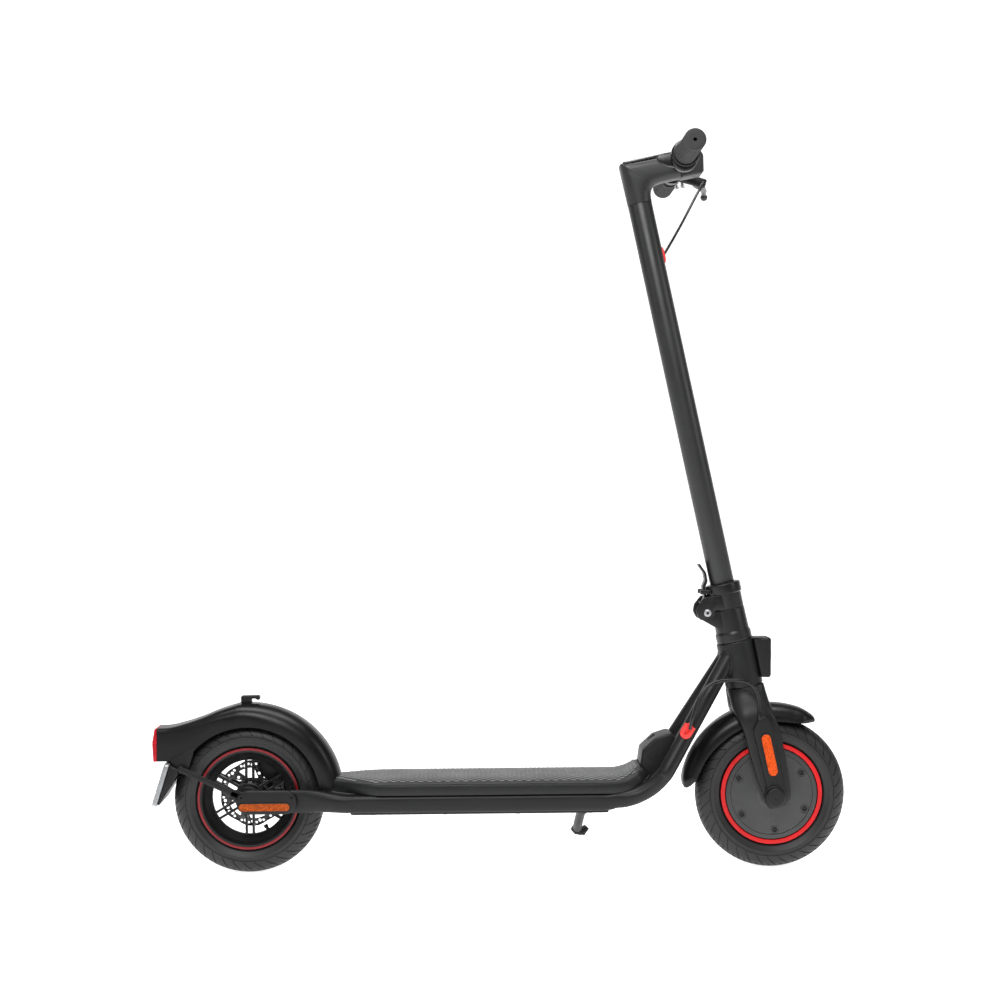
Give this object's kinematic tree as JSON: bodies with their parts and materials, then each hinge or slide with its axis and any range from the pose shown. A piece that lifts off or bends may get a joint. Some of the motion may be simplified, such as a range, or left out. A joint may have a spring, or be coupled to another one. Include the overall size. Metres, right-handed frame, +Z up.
{
  "type": "electric kick scooter",
  "caption": "Folding electric kick scooter with hub motor, rear disc brake, fendered wheels, flat deck and upright steering stem.",
  "frame": {"origin": "on the ground, at the middle of the bounding box seen from above", "axes": "+X the way it rides, +Y to the rider's left, +Z up"},
  "size_m": [1.1372, 0.48, 1.1911],
  "materials": {
    "cast_paint": "matte black powder coat",
    "frame_paint": "matte black powder coat",
    "black_plastic": "matte moulded plastic",
    "deck_metal": "matte black",
    "deck_rubber": "dimpled rubber",
    "steel": "zinc plated",
    "rotor_steel": "ground",
    "battery_wrap": "shrink wrap",
    "stand_paint": "satin black",
    "black_metal": "satin black",
    "arm_metal": "satin",
    "cable_jacket": "smooth",
    "red_rubber": "matte",
    "tyre": "matte",
    "rim_paint": "satin black",
    "hub_grey": "fine textured grey",
    "motor_steel": "laminated",
    "stem_paint": "satin black",
    "dash_gloss": "gloss",
    "grip_rubber": "knurled",
    "button_plastic": "matte",
    "tail_red": "clear red",
    "amber": "prismatic orange",
    "plate_grey": "satin grey"
  },
  "bodies": {
    "frame": {"frame_rail_left": "frame_paint", "frame_rail_right": "frame_paint", "head_tube": "frame_paint", "headset_bearings": "steel", "deck_tray": "cast_paint", "deck_top": "deck_metal", "deck_mat": "deck_rubber", "bottom_cover": "black_plastic", "bottom_screws": "steel", "battery_pack": "battery_wrap", "controller": "black_plastic", "neck_cover": "black_plastic", "rear_arm_left": "frame_paint", "rear_arm_right": "frame_paint", "rear_axle_covers": "black_plastic", "rear_side_reflectors": "amber", "rear_axle": "steel", "rear_fender": "black_plastic", "fender_stays": "deck_metal", "fender_hook": "black_plastic", "tail_lens": "tail_red", "plate_holder": "black_plastic", "number_plate": "plate_grey", "kickstand_bracket": "steel", "brake_caliper": "black_metal", "rear_brake_cable": "cable_jacket", "front_marker": "black_plastic", "frame_grommet": "red_rubber"},
    "charge_flap": {"charge_cap": "black_plastic"},
    "stand": {"kickstand_leg": "stand_paint"},
    "caliper_lever": {"caliper_arm": "arm_metal"},
    "rear_wheel": {"rear_tyre": "tyre", "rear_rim": "rim_paint", "rear_bearings": "steel", "brake_rotor": "rotor_steel"},
    "fork": {"fork": "cast_paint", "fork_reflectors": "amber", "front_fender": "black_plastic", "motor_stator": "motor_steel", "hinge_base": "black_metal", "hinge_pin": "steel", "motor_cable": "cable_jacket"},
    "front_wheel": {"front_tyre": "tyre", "motor_shell": "rim_paint", "motor_covers": "hub_grey", "cover_screws": "steel"},
    "stem": {"stem_collar": "black_metal", "stem_tube": "stem_paint", "stem_head": "black_metal", "bar_clamp": "black_metal", "dash_panel": "dash_gloss", "handlebar": "stem_paint", "grips": "grip_rubber", "brake_perch": "black_metal", "brake_cable": "cable_jacket", "throttle_housing": "black_plastic"},
    "thumb_throttle": {"throttle_paddle": "button_plastic"},
    "hand_lever": {"brake_lever": "arm_metal"},
    "latch_lever": {"fold_lever": "black_metal"},
    "power_key": {"power_button": "button_plastic"}
  },
  "joints": [
    {"name": "steer", "type": "hinge", "parent": "frame", "child": "fork", "pos_m": [0.39621, 0, 0.33927], "axis": [-0.2062, 0, 0.9785], "range_deg": [-50, 50], "deforming": ["motor_cable"]},
    {"name": "front_wheel_spin", "type": "hinge", "parent": "fork", "child": "front_wheel", "pos_m": [0.44457, 0, 0.124], "axis": [0, 1, 0], "continuous": true},
    {"name": "rear_wheel_spin", "type": "hinge", "parent": "frame", "child": "rear_wheel", "pos_m": [-0.41743, 0, 0.124], "axis": [0, 1, 0], "continuous": true},
    {"name": "fold", "type": "hinge", "parent": "fork", "child": "stem", "pos_m": [0.34072, 0, 0.42311], "axis": [0, -1, 0], "range_deg": [0, 88.8]},
    {"name": "fold_lever", "type": "hinge", "parent": "stem", "child": "latch_lever", "pos_m": [0.34072, 0, 0.42311], "axis": [0, -1, 0], "range_deg": [0, 50]},
    {"name": "kickstand", "type": "hinge", "parent": "frame", "child": "stand", "pos_m": [0.13957, 0.084, 0.092], "axis": [0, 0.6293, 0.7771], "range_deg": [0, 90]},
    {"name": "brake_lever", "type": "hinge", "parent": "stem", "child": "hand_lever", "pos_m": [0.3473, 0.102, 1.14913], "axis": [0.2773, 0, 0.9608], "range_deg": [0, 22], "stiffness_Nm_per_rad": 1, "springref_deg": -17.19},
    {"name": "caliper_arm", "type": "hinge", "parent": "frame", "child": "caliper_lever", "pos_m": [-0.38925, 0.0454, 0.16725], "axis": [0, 1, 0], "range_deg": [0, 15.4]},
    {"name": "throttle", "type": "hinge", "parent": "stem", "child": "thumb_throttle", "pos_m": [0.29927, -0.098, 1.163], "axis": [0, -1, 0], "range_deg": [0, 28], "stiffness_Nm_per_rad": 0.3, "springref_deg": -22.92},
    {"name": "power_button", "type": "slide", "parent": "stem", "child": "power_key", "axis": [0.2062, 0, -0.9785], "range_m": [0, 0.0008], "stiffness_N_per_m": 400, "springref_m": -0.001},
    {"name": "charge_cap", "type": "hinge", "parent": "frame", "child": "charge_flap", "pos_m": [0.23533, 0, 0.2022], "axis": [0, 1, 0], "range_deg": [0, 110]}
  ],
  "couplings": [
    {"joint": "caliper_arm", "follows": "brake_lever", "ratio": 0.7}
  ]
}
